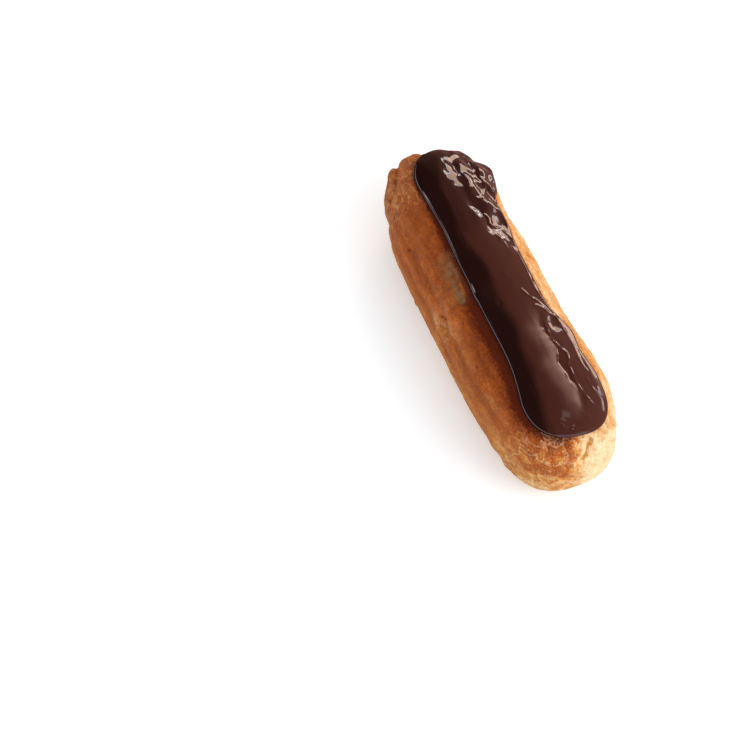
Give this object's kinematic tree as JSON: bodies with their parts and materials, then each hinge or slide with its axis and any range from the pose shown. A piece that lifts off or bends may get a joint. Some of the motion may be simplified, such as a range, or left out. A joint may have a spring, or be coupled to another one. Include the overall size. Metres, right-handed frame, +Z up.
{
  "type": "chocolate eclair",
  "caption": "Long choux bun, piped and baked golden brown, with a folded end, a flat base and a glossy chocolate glaze over its top; a pastry that lies on a plate, tray or counter",
  "frame": {"origin": "the middle of the footprint, at the height of the surface that the pastry lies on", "axes": "+X runs along the pastry, away from its folded end; +Z is up, through the glaze; +Y is the side that the glaze reaches further down"},
  "size_m": [0.1353, 0.0433, 0.0351],
  "materials": {
    "crust": "baked choux crust, golden brown, darker beside the glaze and paler low on the flanks",
    "glaze": "smooth, wet-looking dark chocolate glaze"
  },
  "bodies": {
    "root": {"choux_crust": "crust", "chocolate_glaze": "glaze"}
  },
  "joints": []
}
